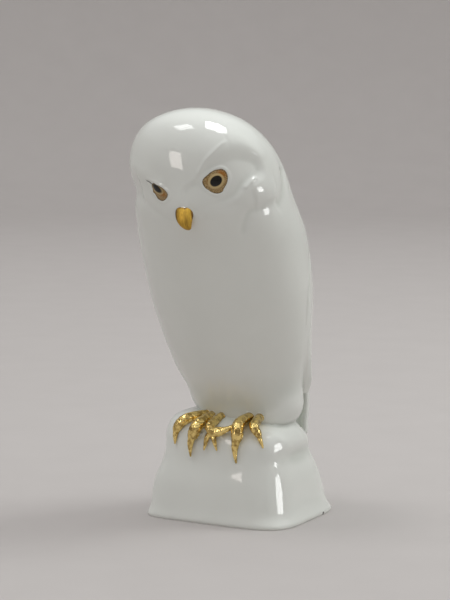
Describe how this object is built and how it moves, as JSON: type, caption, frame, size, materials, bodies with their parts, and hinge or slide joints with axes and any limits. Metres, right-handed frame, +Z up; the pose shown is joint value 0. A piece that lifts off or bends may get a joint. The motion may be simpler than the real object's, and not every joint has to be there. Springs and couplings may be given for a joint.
{
  "type": "porcelain owl figurine",
  "caption": "Glazed white porcelain owl with turned head, painted eyes and gilded beak and claws, perched on a smooth rock base and cast in one piece.",
  "frame": {"origin": "middle of the rock base's flat underside, on the surface that the figurine stands on", "axes": "+Z up, -Y toward the front, where the toes point, and +X toward the owl's own left side"},
  "size_m": [0.1404, 0.1765, 0.344],
  "materials": {
    "glazed_porcelain": "glossy white glaze"
  },
  "bodies": {
    "root": {"porcelain_owl": "glazed_porcelain"}
  },
  "joints": []
}
